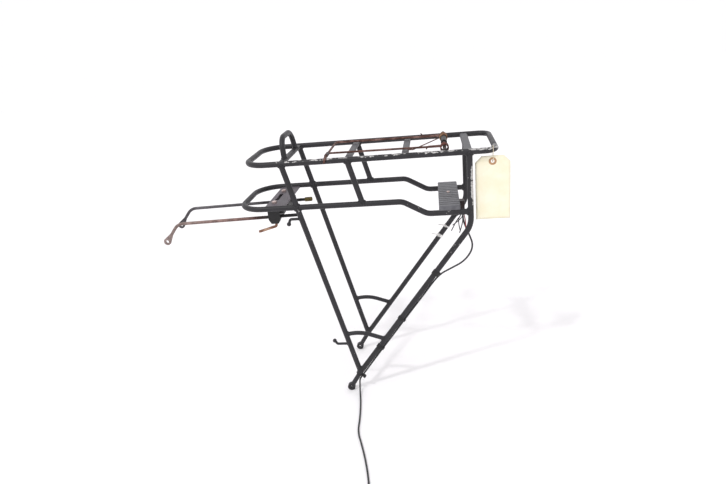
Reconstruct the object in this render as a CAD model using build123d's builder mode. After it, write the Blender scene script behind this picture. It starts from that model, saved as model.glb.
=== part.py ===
"""Rear luggage carrier of a bicycle: welded aluminium rods with a spring clip on the deck.

X runs from the front of the carrier to its rear, Y from its left side to its right side, Z is up.
The origin is the middle of the axis through the two dropout eyelets.
"""

import os
from math import pi, radians, tan

from build123d import *

# Driving dimensions, in millimetres
ROD_D = 10.0                      # frame rods
HALF_WIDTH = 75.0                 # centre plane to the middle of each side
DECK_Z = 460.0
LOWER_Z = 380.0                   # lower rails, front part
LOWER_REAR_Z = 356.0              # lower rails, behind the step
DECK_FRONT_X = -147.0
DECK_REAR_X = 287.0
LOWER_FRONT_X = -170.0
FRONT_CORNER_R = 40.0
LOWER_CORNER_R = 46.0
REAR_CORNER_R = 20.0

FRONT_LEG_TOP_X = -79.0
UPRIGHT_X = 243.0
REAR_BEND_Z = 330.0
REAR_BEND_R = 45.0
FOOT_X = 21.0                     # where the front and the rear leg meet
FOOT_Z = 33.0
STEP_START_X = 127.0
STEP_END_X = 169.0
STEP_R = 26.0

SLAT_SIZE = (12.0, 6.0)
REAR_SLAT_SIZE = (14.0, 6.0)
SLAT_EDGE_R = 2.4
SLAT_X = {"front": FRONT_LEG_TOP_X, "middle": 38.0, "third": 136.0, "rear": 241.0}
STRUT_TOP_X = 37.0
STRUT_BOTTOM_X = 57.5

HOOP_TOP_Z = 497.0
HOOP_FOOT_Y = 44.0
HOOP_TOP_Y = 36.0
HOOP_LEAN = 0.1
HOOP_R = 25.0

BRACE_D = 8.0
HOOK_D = 5.0
HOOK_BALL_D = 8.0

EYELET_D = 15.0
EYELET_T = 7.0
EYELET_HOLE_D = 6.4
SHANK_D = 9.0

SADDLE = 20.0                     # half length of the stretch that cuts a welded end

PLATE_X = (-124.0, -87.0)
PLATE_Z = 378.0
PLATE_T = 3.0
STAY_BOLT_X = -112.0
STAY_BOLT_Y = 37.0
BOLT_D = 5.0
STAY_Y = 48.0
STAY_D = 6.0
STAY_Z = 356.5                    # height of the stay axis at the bolt
STAY_SLOPE = 0.025                # rise of the stays towards the rear
STAY_TAIL_X = -62.0
STAY_SHIFT = {"left": 0.0, "right": -13.0}     # how far each stay is drawn out of its clamp
STAY_BEND_X = -303.0
STAY_EYE_X = -331.0
STAY_EYE_Z = 317.5
STAY_EYE_D = 14.0
STAY_HOLE_D = 6.2
STAY_EYE_T = 3.0
STAY_SHAFT_START = 9.8           # round shaft begins this far from the middle of the eye
RUNNING_GAP = 0.05

AXLE_X = 203.0
AXLE_Z = 464.5
AXLE_D = 6.0
BAIL_D = 4.0
NEAR_ARM_D = 3.6
NEAR_ARM_DROP = 0.2               # the near arm meets the front bar this far below its middle
BAIL_FRONT_X = 1.0
BAIL_GAP = 0.3                    # between the bail and the deck rods
BAIL_Z = DECK_Z + ROD_D / 2 + BAIL_D / 2 + BAIL_GAP
BAIL_Y = 46.0
BAIL_TIP_Y = 82.5

BRACE_FRONT_Z = 119.0
BRACE_CROWN_X = 30.0
BRACE_CROWN_Z = 124.0
BRACE_REAR_Z = 107.0
BRACE_R = 75.0
# stem height, bend x, ball x, ball height
HOOKS = {"upper": (358.5, -76.0, -79.5, 349.5), "lower": (98.5, -18.0, -23.0, 105.5)}
HOOK_R = 4.0
PLATE_SLOT = (44.0, 7.0)
CLAMP_GAP = 0.3
CLAMP_X = (-122.0, -100.0)
CLAMP_OUTER_Y = 56.0
CLAMP_STEP_Y = 43.0
CLAMP_INNER_Y = 12.0
CLAMP_TAPER_Z = 353.0
CLAMP_BOTTOM_Z = 345.0
CLAMP_TAPER = 4.5
BOLT_HEAD = (9.0, 3.5)            # diameter, height
BOLT_HEAD_EDGE = 0.9
BOLT_NUT = (8.0, 4.0)             # across flats, height
SET_SCREW = (5.0, 7.0)            # diameter, length
SET_SCREW_Z = 365.0
STAY_BEND_R = 24.0
STAY_NECK = 17.0
END_CAP = (8.6, 15.0)             # diameter, length
END_CAP_EDGE_R = 1.5
PIN_D = 5.0
PIN_R = 4.0
PIN_X = -111.0
PIN_BEND_Z = 338.0
PIN_TIP_X = -146.0
PIN_TIP_Z = 328.5
ARM_REAR_Z = 466.0
BAIL_R = 7.0
BAIL_TIP_Z = 458.0
GRIP_Y = (-69.0, -50.0)
GRIP_D = 6.5
COIL_D = 15.0
# start y, end y, diameter, colour
SLEEVES = {
    "clip_coil_left": (-58.0, -40.0, COIL_D, "sienna"),
    "clip_bush": (-12.0, 27.0, 11.0, "black"),
    "clip_coil_right": (28.0, 52.0, COIL_D, "peru"),
}
SPRING_D = 2.0
SPRING_R = 3.0
SPRING_WIRES = {
    "clip_spring_long": [
        (198.0, 29.0, 466.5),
        (191.0, 18.0, 466.0),
        (149.0, -46.0, 463.2),
        (141.5, -58.0, 466.5),
    ],
    "clip_spring_end_left": [
        (199.0, -41.5, 467.0),
        (175.0, -41.5, 466.5),
        (172.0, -41.5, 461.5),
    ],
    "clip_spring_end_right": [
        (199.0, 50.5, 467.0),
        (165.0, 50.5, 467.5),
        (161.5, 50.5, 472.0),
    ],
}
BLOCK_X = (189.0, 225.5)
BLOCK_Y = 77.0
BLOCK_R = 2.0
BLOCK_TOP_Z = 368.5
BLOCK_BOTTOM_Z = 359.0
GROOVE = (2.4, 0.9)               # width, depth
GROOVE_PITCH = 11.0
GROOVE_COUNT = 13
BLOCK_SCREW = (6.0, 1.6)          # diameter, height
BLOCK_SCREW_Y = 5.5
BLOCK_SCREW_EDGE_R = 0.8
CONNECTOR_SIZE = (8.5, 14.0, 20.0)
CONNECTOR_EDGE_R = 1.0
CONNECTOR_X = 229.75
CONNECTOR_Y = -45.0
CONNECTOR_Z = 358.0

LEAD_D = 3.2
ARC_SHARE = 0.45
LEAD_OFFSET = 6.8                 # from the middle of the leg
LEAD_LOOP = [
    (230.0, -45.0, 348.0),
    (230.0, -45.0, 330.0),
    (239.0, -60.0, 311.0),
    (247.0, -74.0, 290.0),
    (231.0, -77.0, 265.0),
    (205.0, -76.0, 250.5),
]
# height on the leg, distance from its middle
LEAD_ON_LEG = [
    (242.5, 6.7),
    (204.0, 7.0),
    (160.0, 6.7),
    (121.0, 7.0),
    (91.0, 6.7),
    (60.0, 7.0),
    (27.0, 7.4),
]
TAIL_START = 8.0                  # first run of the tail, straight on from the foot tie
TAIL_POINTS = [
    (17.3, -79.0, 4.0),
    (18.5, -93.0, -5.9),
    (22.8, -121.6, -5.9),
    (26.4, -166.2, -5.9),
    (26.7, -203.5, -5.9),
    (38.1, -237.6, -5.9),
    (50.2, -280.7, -5.9),
    (59.2, -323.6, -5.9),
    (63.7, -360.9, -5.0),
]
PLUG = (5.0, 20.0)                # diameter, length
PLUG_EDGE_R = 0.8
WIRE_D = 1.8
WIRE_R = 3.5
LOOSE_WIRES = {
    "wire_red": (
        [[(232.5, -48.5, 348.0), (232.5, -48.5, 341.0), (234.5, -61.0, 334.0), (234.0, -65.0, 319.0)]],
        "red",
    ),
    "wires_black": (
        [
            [(228.0, -41.0, 348.0), (228.0, -41.0, 340.0), (221.0, -44.0, 330.0), (225.0, -48.0, 311.0)],
            [(227.5, -49.5, 348.0), (227.5, -49.5, 341.0), (219.0, -54.0, 334.0), (209.0, -57.0, 315.0)],
            [(227.2, -45.5, 348.0), (227.2, -45.5, 342.0), (210.0, -49.0, 337.0), (199.0, -50.0, 326.0)],
            [(232.6, -41.2, 348.0), (232.6, -41.2, 339.0), (224.0, -37.0, 327.0), (212.0, -39.0, 319.0)],
            [(230.0, -50.2, 348.0), (230.0, -51.5, 338.0), (229.0, -62.0, 330.0), (223.0, -66.0, 314.0)],
        ],
        "black",
    ),
}
BAND_T = 1.2
# height on the leg, width
LEAD_CLIPS = {
    "lead_clip_upper": (242.5, 8.0),
    "lead_clip_middle": (151.0, 5.0),
    "lead_clip_lower": (91.0, 6.0),
}
FOOT_TIE = (30.0, 3.6)
TIE_HEAD = (4.5, 6.0, 5.0)        # away from the lead, along Y, along the leg
TIE_HEAD_EDGE_R = 0.9
WHITE_TIES = {"white_tie_wide": (258.0, 6.0), "white_tie_narrow": (277.0, 2.5)}

TAG_SIZE = (58.0, 112.0)
TAG_X = 281.0
TAG_Y = -68.0
TAG_T = 0.5
TAG_TOP_Z = 449.5
TAG_CORNER = 11.0
TAG_HOLE_Z = 440.0
TAG_HOLE_D = 6.0
TAG_RING_D = 13.0
STRING_Z = 453.0
STRING_R = 14.0
STRING_D = 1.0

SIDES = {"left": -1, "right": 1}
LEG_DIR = Vector(UPRIGHT_X - FOOT_X, 0, REAR_BEND_Z - FOOT_Z).normalized()
LEG_BACK = Vector(LEG_DIR.Z, 0, -LEG_DIR.X)      # away from the leg, towards the rear and down

parts = []


def finish(builder, name, colour="dimgray"):
    """Name a finished piece and keep it for the export."""
    builder.part.label = name
    builder.part.color = Color(colour)
    parts.append(builder.part)
    return builder.part


def rod(points, diameter, radius=0.0, closed=False):
    """A round rod through points, with each corner bent to radius."""
    with BuildPart() as swept:
        with BuildLine() as path:
            if radius:
                FilletPolyline(*points, radius=radius, close=closed)
            else:
                Polyline(*points)
        with BuildSketch(Plane(origin=path.line @ 0, z_dir=path.line % 0)):
            Circle(diameter / 2)
        sweep()
    return swept.part


def trimmed(solid, *others):
    """A piece that ends on the surface of the others."""
    with BuildPart() as piece:
        add(solid)
        for other in others:
            add(other, mode=Mode.SUBTRACT)
    return piece


def deck_side(x, y):
    """The straight stretch of the deck rod around x, for cutting pieces that meet it."""
    return rod([(x - SADDLE, y, DECK_Z), (x + SADDLE, y, DECK_Z)], ROD_D)


def leg_point(z, offset=0.0, y=-HALF_WIDTH):
    """A point beside the slanted rear leg, offset away from its underside."""
    along = (z - FOOT_Z) / LEG_DIR.Z
    middle = Vector(FOOT_X, y, FOOT_Z) + LEG_DIR * along
    return middle + LEG_BACK * offset


def front_leg_x(z):
    """Middle of the front leg at height z."""
    share = (DECK_Z - z) / (DECK_Z - FOOT_Z)
    return FRONT_LEG_TOP_X + share * (FOOT_X - FRONT_LEG_TOP_X)


# Deck loop: one closed rod
deck_corners = [
    (DECK_FRONT_X, -HALF_WIDTH, DECK_Z),
    (DECK_REAR_X, -HALF_WIDTH, DECK_Z),
    (DECK_REAR_X, HALF_WIDTH, DECK_Z),
    (DECK_FRONT_X, HALF_WIDTH, DECK_Z),
]
with BuildPart() as deck_loop:
    with BuildLine() as deck_path:
        FilletPolyline(
            *deck_corners,
            radius=[FRONT_CORNER_R, REAR_CORNER_R, REAR_CORNER_R, FRONT_CORNER_R],
            close=True,
        )
    with BuildSketch(Plane(origin=deck_path.line @ 0, z_dir=deck_path.line % 0)):
        Circle(ROD_D / 2)
    sweep()
deck = finish(deck_loop, "deck_loop")

# Legs
lugs = {}
rear_legs = {}
front_legs = {}
for side, sign in SIDES.items():
    y = sign * HALF_WIDTH
    shank = rod([(0, y, 0), (FOOT_X, y, FOOT_Z)], SHANK_D)
    with BuildPart() as lug:
        add(shank)
        with BuildSketch(Plane.XZ.offset(-y)):
            Circle(EYELET_D / 2)
        extrude(amount=EYELET_T / 2, both=True)
        with BuildSketch(Plane.XZ.offset(-y)):
            Circle(EYELET_HOLE_D / 2)
        extrude(amount=EYELET_T, both=True, mode=Mode.SUBTRACT)
    lugs[side] = finish(lug, f"dropout_lug_{side}")

    leg_rod = rod(
        [(UPRIGHT_X, y, DECK_Z), (UPRIGHT_X, y, REAR_BEND_Z), (FOOT_X, y, FOOT_Z)],
        ROD_D,
        REAR_BEND_R,
    )
    rear_leg = trimmed(leg_rod, deck_side(UPRIGHT_X, y), lugs[side])
    rear_legs[side] = finish(rear_leg, f"rear_leg_{side}")

    leg_rod = rod([(FRONT_LEG_TOP_X, y, DECK_Z), (FOOT_X, y, FOOT_Z)], ROD_D)
    front_leg = trimmed(leg_rod, deck_side(FRONT_LEG_TOP_X, y), lugs[side], rear_legs[side])
    front_legs[side] = finish(front_leg, f"front_leg_{side}")

# Lower rails: a loop at the front, and a stepped rail on each side behind the front legs
crossing_x = front_leg_x(LOWER_Z)
loop_rod = rod(
    [
        (crossing_x, -HALF_WIDTH, LOWER_Z),
        (LOWER_FRONT_X, -HALF_WIDTH, LOWER_Z),
        (LOWER_FRONT_X, HALF_WIDTH, LOWER_Z),
        (crossing_x, HALF_WIDTH, LOWER_Z),
    ],
    ROD_D,
    LOWER_CORNER_R,
)
lower_loop = trimmed(loop_rod, front_legs["left"], front_legs["right"])
lower_front = finish(lower_loop, "lower_front_loop")

lower_rails = {}
struts = {}
for side, sign in SIDES.items():
    y = sign * HALF_WIDTH
    rail_rod = rod(
        [
            (crossing_x, y, LOWER_Z),
            (STEP_START_X, y, LOWER_Z),
            (STEP_END_X, y, LOWER_REAR_Z),
            (UPRIGHT_X, y, LOWER_REAR_Z),
        ],
        ROD_D,
        STEP_R,
    )
    lower_rail = trimmed(rail_rod, front_legs[side], rear_legs[side])
    lower_rails[side] = finish(lower_rail, f"lower_rail_{side}")

    strut_rod = rod([(STRUT_TOP_X, y, DECK_Z), (STRUT_BOTTOM_X, y, LOWER_Z)], ROD_D)
    strut = trimmed(strut_rod, deck_side(STRUT_TOP_X, y), lower_rails[side])
    struts[side] = finish(strut, f"side_strut_{side}")

# Cross slats of the deck
slats = {}
posts = [*front_legs.values(), *rear_legs.values(), *struts.values()]
for place, x in SLAT_X.items():
    size = REAR_SLAT_SIZE if place == "rear" else SLAT_SIZE
    with BuildPart() as slat_bar:
        with BuildSketch(Plane.XZ.offset(-HALF_WIDTH)):
            with Locations((x, DECK_Z)):
                RectangleRounded(*size, radius=SLAT_EDGE_R)
        extrude(amount=2 * HALF_WIDTH)
    slat = trimmed(
        slat_bar.part,
        deck_side(x, -HALF_WIDTH),
        deck_side(x, HALF_WIDTH),
        *posts,
    )
    slats[place] = finish(slat, f"deck_slat_{place}")

# Raised hoop on the front slat
hoop_top_x = FRONT_LEG_TOP_X - HOOP_LEAN * (HOOP_TOP_Z - DECK_Z)
hoop_rod = rod(
    [
        (FRONT_LEG_TOP_X, -HOOP_FOOT_Y, DECK_Z),
        (hoop_top_x, -HOOP_TOP_Y, HOOP_TOP_Z),
        (hoop_top_x, HOOP_TOP_Y, HOOP_TOP_Z),
        (FRONT_LEG_TOP_X, HOOP_FOOT_Y, DECK_Z),
    ],
    ROD_D,
    HOOP_R,
)
hoop = trimmed(hoop_rod, slats["front"])
finish(hoop, "front_hoop")

# Braces between the legs, just above the feet
for side, sign in SIDES.items():
    y = sign * HALF_WIDTH
    brace_rod = rod(
        [
            (front_leg_x(BRACE_FRONT_Z), y, BRACE_FRONT_Z),
            (BRACE_CROWN_X, y, BRACE_CROWN_Z),
            (leg_point(BRACE_REAR_Z).X, y, BRACE_REAR_Z),
        ],
        BRACE_D,
        BRACE_R,
    )
    brace = trimmed(brace_rod, front_legs[side], rear_legs[side])
    finish(brace, f"leg_brace_{side}")

# Strap hooks on the left front leg
left_y = -HALF_WIDTH
for place, (stem_z, bend_x, ball_x, ball_z) in HOOKS.items():
    wire = rod(
        [(front_leg_x(stem_z), left_y, stem_z), (bend_x, left_y, stem_z), (ball_x, left_y, ball_z)],
        HOOK_D,
        HOOK_R,
    )
    wire = trimmed(wire, front_legs["left"])
    with BuildPart() as hook:
        with Locations((ball_x, left_y, ball_z)):
            Sphere(HOOK_BALL_D / 2, rotation=(90, 0, 0))
        add(wire.part)
    finish(hook, f"strap_hook_{place}")

# Front plate between the lower rails, with the slot for the mudguard screw
plate_bottom = PLATE_Z - PLATE_T / 2
plate_middle_x = (PLATE_X[0] + PLATE_X[1]) / 2
with BuildPart() as plate_blank:
    with BuildSketch(Plane.XY.offset(plate_bottom)):
        with Locations((plate_middle_x, 0)):
            Rectangle(PLATE_X[1] - PLATE_X[0], 2 * HALF_WIDTH)
        with Locations((STAY_BOLT_X, 0)):
            SlotOverall(PLATE_SLOT[0], PLATE_SLOT[1], rotation=90, mode=Mode.SUBTRACT)
        with Locations((STAY_BOLT_X, -STAY_BOLT_Y), (STAY_BOLT_X, STAY_BOLT_Y)):
            Circle(BOLT_D / 2 + RUNNING_GAP, mode=Mode.SUBTRACT)
    extrude(amount=PLATE_T)
front_plate = trimmed(plate_blank.part, lower_front)
finish(front_plate, "front_plate", "slategray")


def stay_z(x):
    """Height of the stay axis at x."""
    return STAY_Z + STAY_SLOPE * (x - STAY_BOLT_X)


# Stays, each held by a clamp that swivels on its bolt under the plate
clamp_top = plate_bottom - CLAMP_GAP
for side, sign in SIDES.items():
    y = sign * STAY_Y
    bolt_y = sign * STAY_BOLT_Y
    shift = STAY_SHIFT[side]
    bend_x = STAY_BEND_X + shift
    tail_x = STAY_TAIL_X + shift
    stay_front = (bend_x, y, stay_z(bend_x))
    eye = Vector(STAY_EYE_X + shift, y, STAY_EYE_Z + STAY_SLOPE * shift)
    towards_bend = (Vector(*stay_front) - eye).normalized()
    neck = eye + towards_bend * STAY_NECK
    shaft_end = eye + towards_bend * STAY_SHAFT_START
    shaft = rod(
        [(tail_x, y, stay_z(tail_x)), stay_front, tuple(shaft_end)],
        STAY_D,
        STAY_BEND_R,
    )
    with BuildPart() as stay:
        add(shaft)
        with BuildSketch(Plane.XZ.offset(-y)):
            with Locations((eye.X, eye.Z)):
                Circle(STAY_EYE_D / 2)
            with Locations((neck.X, neck.Z)):
                Circle(STAY_D / 2)
            make_hull()
        extrude(amount=STAY_EYE_T / 2, both=True)
        with BuildSketch(Plane.XZ.offset(-y)):
            with Locations((eye.X, eye.Z)):
                Circle(STAY_HOLE_D / 2)
        extrude(amount=STAY_EYE_T * 2, both=True, mode=Mode.SUBTRACT)
    finish(stay, f"stay_{side}", "rosybrown" if side == "left" else "black")

    channel = rod(
        [(PLATE_X[0] - SADDLE, y, stay_z(PLATE_X[0] - SADDLE)), (STAY_TAIL_X, y, stay_z(STAY_TAIL_X))],
        STAY_D + 2 * RUNNING_GAP,
    )
    outer_y = sign * CLAMP_OUTER_Y
    inner_y = sign * CLAMP_STEP_Y
    with BuildPart() as clamp:
        with BuildSketch(Plane.XZ.offset(-inner_y)):
            with BuildLine():
                Polyline(
                    (CLAMP_X[0], clamp_top),
                    (CLAMP_X[1], clamp_top),
                    (CLAMP_X[1], CLAMP_TAPER_Z),
                    (CLAMP_X[1] - CLAMP_TAPER, CLAMP_BOTTOM_Z),
                    (CLAMP_X[0] + CLAMP_TAPER, CLAMP_BOTTOM_Z),
                    (CLAMP_X[0], CLAMP_TAPER_Z),
                    close=True,
                )
            make_face()
        extrude(amount=-(outer_y - inner_y))
        with BuildSketch(Plane.XZ.offset(-inner_y)):
            with BuildLine():
                Polyline(
                    (CLAMP_X[0], clamp_top),
                    (CLAMP_X[1], clamp_top),
                    (CLAMP_X[1], CLAMP_TAPER_Z),
                    (CLAMP_X[0], CLAMP_TAPER_Z),
                    close=True,
                )
            make_face()
        extrude(amount=inner_y - sign * CLAMP_INNER_Y)
        add(channel, mode=Mode.SUBTRACT)
        with BuildSketch(Plane.XY.offset(CLAMP_BOTTOM_Z)):
            with Locations((STAY_BOLT_X, bolt_y)):
                Circle(BOLT_D / 2 + RUNNING_GAP)
        extrude(amount=clamp_top - CLAMP_BOTTOM_Z, mode=Mode.SUBTRACT)
    finish(clamp, f"stay_clamp_{side}", "black")

    with BuildPart() as set_screw:
        with BuildSketch(Plane.YZ.offset(CLAMP_X[1])):
            with Locations((y, SET_SCREW_Z)):
                Circle(SET_SCREW[0] / 2)
        extrude(amount=SET_SCREW[1])
    finish(set_screw, f"clamp_set_screw_{side}", "black")

bolt_spots = [(STAY_BOLT_X, -STAY_BOLT_Y), (STAY_BOLT_X, STAY_BOLT_Y)]
plate_top = PLATE_Z + PLATE_T / 2
nut_bottom = CLAMP_TAPER_Z - CLAMP_GAP - BOLT_NUT[1]
with BuildPart() as bolts:
    with BuildSketch(Plane.XY.offset(nut_bottom)):
        with Locations(*bolt_spots):
            Circle(BOLT_D / 2)
    extrude(amount=plate_top - nut_bottom)
    with BuildSketch(Plane.XY.offset(plate_top)):
        with Locations(*bolt_spots):
            Circle(BOLT_HEAD[0] / 2)
    extrude(amount=BOLT_HEAD[1])
    chamfer(bolts.edges().group_by(Axis.Z)[-1], BOLT_HEAD_EDGE)
finish(bolts, "stay_bolts", "silver")

with BuildPart() as nuts:
    with BuildSketch(Plane.XY.offset(nut_bottom)):
        with Locations(*bolt_spots):
            RegularPolygon(BOLT_NUT[0] / 2, 6, major_radius=False)
            Circle(BOLT_D / 2, mode=Mode.SUBTRACT)
    extrude(amount=BOLT_NUT[1])
finish(nuts, "stay_nuts", "silver")

with BuildPart() as end_cap:
    tail_x = STAY_TAIL_X + STAY_SHIFT["right"]
    tail = Vector(tail_x, STAY_Y, stay_z(tail_x))
    with BuildSketch(Plane(origin=tail, z_dir=Vector(1, 0, STAY_SLOPE))):
        Circle(END_CAP[0] / 2)
    extrude(amount=END_CAP[1])
    fillet(end_cap.edges(), END_CAP_EDGE_R)
finish(end_cap, "stay_end_cap_right", "darkkhaki")

bent_pin = rod(
    [
        (PIN_X, -STAY_Y, CLAMP_BOTTOM_Z),
        (PIN_X, -STAY_Y, PIN_BEND_Z),
        (PIN_TIP_X, -STAY_Y, PIN_TIP_Z),
    ],
    PIN_D,
    PIN_R,
)
finish(trimmed(bent_pin), "clamp_bent_pin", "sienna")

# Spring clip: a wire bail on an axle across the deck
axle_rod = rod([(AXLE_X, -HALF_WIDTH, AXLE_Z), (AXLE_X, HALF_WIDTH, AXLE_Z)], AXLE_D)
axle = trimmed(axle_rod, deck_side(AXLE_X, -HALF_WIDTH), deck_side(AXLE_X, HALF_WIDTH))
finish(axle, "clip_axle", "dimgray")

sleeves = {}
for name, (y0, y1, diameter, colour) in SLEEVES.items():
    with BuildPart() as sleeve:
        with BuildSketch(Plane.XZ.offset(-y0)):
            with Locations((AXLE_X, AXLE_Z)):
                Circle(diameter / 2)
                Circle(AXLE_D / 2 + RUNNING_GAP, mode=Mode.SUBTRACT)
        extrude(amount=-(y1 - y0))
    sleeves[name] = finish(sleeve, name, colour)

far_wire = rod(
    [
        (AXLE_X - AXLE_D, BAIL_Y, ARM_REAR_Z),
        (BAIL_FRONT_X, BAIL_Y, BAIL_Z),
        (BAIL_FRONT_X, -BAIL_TIP_Y, BAIL_Z),
        (BAIL_FRONT_X - BAIL_D / 2, -BAIL_TIP_Y, BAIL_TIP_Z),
    ],
    BAIL_D,
    BAIL_R,
)
near_wire = rod(
    [(AXLE_X - AXLE_D, -BAIL_Y, ARM_REAR_Z), (BAIL_FRONT_X, -BAIL_Y, BAIL_Z - NEAR_ARM_DROP)],
    NEAR_ARM_D,
)
coil_core = rod([(AXLE_X, -HALF_WIDTH, AXLE_Z), (AXLE_X, HALF_WIDTH, AXLE_Z)], COIL_D)
with BuildPart() as bail:
    add(far_wire)
    add(coil_core, mode=Mode.SUBTRACT)
    add(trimmed(near_wire, coil_core).part)
finish(bail, "clip_bail", "sienna")

with BuildPart() as grip:
    with BuildSketch(Plane.XZ.offset(-GRIP_Y[0])):
        with Locations((BAIL_FRONT_X, BAIL_Z)):
            Circle(GRIP_D / 2)
            Circle(BAIL_D / 2, mode=Mode.SUBTRACT)
    extrude(amount=-(GRIP_Y[1] - GRIP_Y[0]))
finish(grip, "clip_grip", "dimgray")

for name, points in SPRING_WIRES.items():
    wire = rod(points, SPRING_D, SPRING_R)
    spring = trimmed(wire, coil_core)
    finish(spring, name, "sienna")

# Ribbed cover block over the rear of the lower rails
block_middle_x = (BLOCK_X[0] + BLOCK_X[1]) / 2
with BuildPart() as block_body:
    with BuildSketch(Plane.XY.offset(BLOCK_BOTTOM_Z)):
        with Locations((block_middle_x, 0)):
            RectangleRounded(BLOCK_X[1] - BLOCK_X[0], 2 * BLOCK_Y, radius=BLOCK_R)
    extrude(amount=BLOCK_TOP_Z - BLOCK_BOTTOM_Z)
    chamfer(block_body.faces().sort_by(Axis.Z)[-1].edges(), GROOVE[1])
    with Locations((block_middle_x, 0, BLOCK_TOP_Z)):
        with GridLocations(0, GROOVE_PITCH, 1, GROOVE_COUNT):
            Box(BLOCK_X[1] - BLOCK_X[0], GROOVE[0], 2 * GROOVE[1], mode=Mode.SUBTRACT)
    add(lower_rails["left"], mode=Mode.SUBTRACT)
    add(lower_rails["right"], mode=Mode.SUBTRACT)
block = finish(block_body, "rear_block", "gray")

with BuildPart() as block_screw:
    with BuildSketch(Plane.XY.offset(BLOCK_TOP_Z)):
        with Locations((block_middle_x, BLOCK_SCREW_Y)):
            Circle(BLOCK_SCREW[0] / 2)
    extrude(amount=BLOCK_SCREW[1])
    fillet(block_screw.faces().sort_by(Axis.Z)[-1].edges(), BLOCK_SCREW_EDGE_R)
finish(block_screw, "block_screw", "silver")

with BuildPart() as connector:
    with Locations((CONNECTOR_X, CONNECTOR_Y, CONNECTOR_Z)):
        Box(*CONNECTOR_SIZE)
    fillet(connector.edges().filter_by(Axis.Z), CONNECTOR_EDGE_R)
finish(connector, "light_connector", "black")

# Light lead: from the connector round the bend of the left rear leg, then clipped along the leg
lead_points = [
    *LEAD_LOOP,
    *[tuple(leg_point(z, offset)) for z, offset in LEAD_ON_LEG],
]


def cord(points, diameter, name):
    """A limp lead: straight runs joined by the largest arcs that they take."""
    vectors = [Vector(*p) for p in points]
    radii = []
    for before, corner, after in zip(vectors, vectors[1:], vectors[2:]):
        run_in = corner - before
        run_out = after - corner
        half_turn = radians(run_in.get_angle(run_out)) / 2
        radii.append(ARC_SHARE * min(run_in.length, run_out.length) / tan(half_turn))
    with BuildPart() as lead:
        with BuildLine() as route:
            FilletPolyline(*points, radius=radii)
        with BuildSketch(Plane(origin=route.line @ 0, z_dir=route.line % 0)):
            Circle(diameter / 2)
        sweep()
    finished = finish(lead, name, "black")
    section = pi * diameter**2 / 4
    route_length = route.wires()[0].length
    print(
        name,
        "length", round(route_length, 1),
        "radii", [round(r, 1) for r in radii],
        "volume over section times length", round(lead.part.volume / section / route_length, 4),
    )
    return finished


light_lead = cord(lead_points, LEAD_D, "light_lead")
lead_end = Vector(*lead_points[-1])
lead_end_dir = (lead_end - Vector(*lead_points[-2])).normalized()
tail_first = lead_end + lead_end_dir * TAIL_START
cord([tuple(lead_end), tuple(tail_first), *TAIL_POINTS], LEAD_D, "light_lead_tail")

tail_end = Vector(*TAIL_POINTS[-1])
tail_dir = (tail_end - Vector(*TAIL_POINTS[-2])).normalized()
with BuildPart() as plug:
    with BuildSketch(Plane(origin=tail_end, z_dir=tail_dir)):
        Circle(PLUG[0] / 2)
    extrude(amount=PLUG[1])
    fillet(plug.edges(), PLUG_EDGE_R)
finish(plug, "light_lead_plug", "black")

for name, (routes, colour) in LOOSE_WIRES.items():
    with BuildPart() as wires:
        for points in routes:
            add(rod(points, WIRE_D, WIRE_R))
    finish(wires, name, colour)


def band(name, z, sign, width, lead_offset, colour, *cuts):
    """A band round the rear leg and, at a lead offset, round the lead beside it."""
    middle = leg_point(z, 0, sign * HALF_WIDTH)
    frame = Plane(origin=middle, x_dir=LEG_BACK, z_dir=LEG_DIR)
    with BuildPart() as clip:
        with BuildSketch(frame):
            Circle(ROD_D / 2 + BAND_T)
            if lead_offset:
                with Locations((lead_offset, 0)):
                    Circle(LEAD_D / 2 + BAND_T)
                make_hull()
        extrude(amount=width / 2, both=True)
        with BuildSketch(frame):
            Circle(ROD_D / 2 + RUNNING_GAP)
            if lead_offset:
                with Locations((lead_offset, 0)):
                    Circle(LEAD_D / 2 + RUNNING_GAP)
                make_hull()
        extrude(amount=width, both=True, mode=Mode.SUBTRACT)
        for cut in cuts:
            add(cut, mode=Mode.SUBTRACT)
    finish(clip, name, colour)


for name, (z, width) in LEAD_CLIPS.items():
    band(name, z, SIDES["left"], width, LEAD_OFFSET, "black", light_lead)
foot_cuts = (light_lead, lugs["left"], rear_legs["left"], front_legs["left"])
band("lead_tie_foot", FOOT_TIE[0], SIDES["left"], FOOT_TIE[1], LEAD_OFFSET, "black", *foot_cuts)
head_middle = leg_point(FOOT_TIE[0], LEAD_OFFSET + LEAD_D / 2 + BAND_T + TIE_HEAD[0] / 2)
with BuildPart() as tie_head:
    with BuildSketch(Plane(origin=head_middle, x_dir=LEG_BACK, z_dir=LEG_DIR)):
        RectangleRounded(TIE_HEAD[0], TIE_HEAD[1], radius=TIE_HEAD_EDGE_R)
    extrude(amount=TIE_HEAD[2] / 2, both=True)
finish(tie_head, "lead_tie_head", "black")
for name, (z, width) in WHITE_TIES.items():
    band(name, z, SIDES["right"], width, 0, "white")

# Blank paper tag on a loop of string
with BuildPart() as tag:
    with BuildSketch(Plane.XZ.offset(-TAG_Y)):
        with BuildLine():
            Polyline(
                (TAG_X - TAG_SIZE[0] / 2, TAG_TOP_Z - TAG_CORNER),
                (TAG_X - TAG_SIZE[0] / 2 + TAG_CORNER, TAG_TOP_Z),
                (TAG_X + TAG_SIZE[0] / 2 - TAG_CORNER, TAG_TOP_Z),
                (TAG_X + TAG_SIZE[0] / 2, TAG_TOP_Z - TAG_CORNER),
                (TAG_X + TAG_SIZE[0] / 2, TAG_TOP_Z - TAG_SIZE[1]),
                (TAG_X - TAG_SIZE[0] / 2, TAG_TOP_Z - TAG_SIZE[1]),
                close=True,
            )
        make_face()
        with Locations((TAG_X, TAG_HOLE_Z)):
            Circle(TAG_HOLE_D / 2, mode=Mode.SUBTRACT)
    extrude(amount=TAG_T / 2, both=True)
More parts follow.
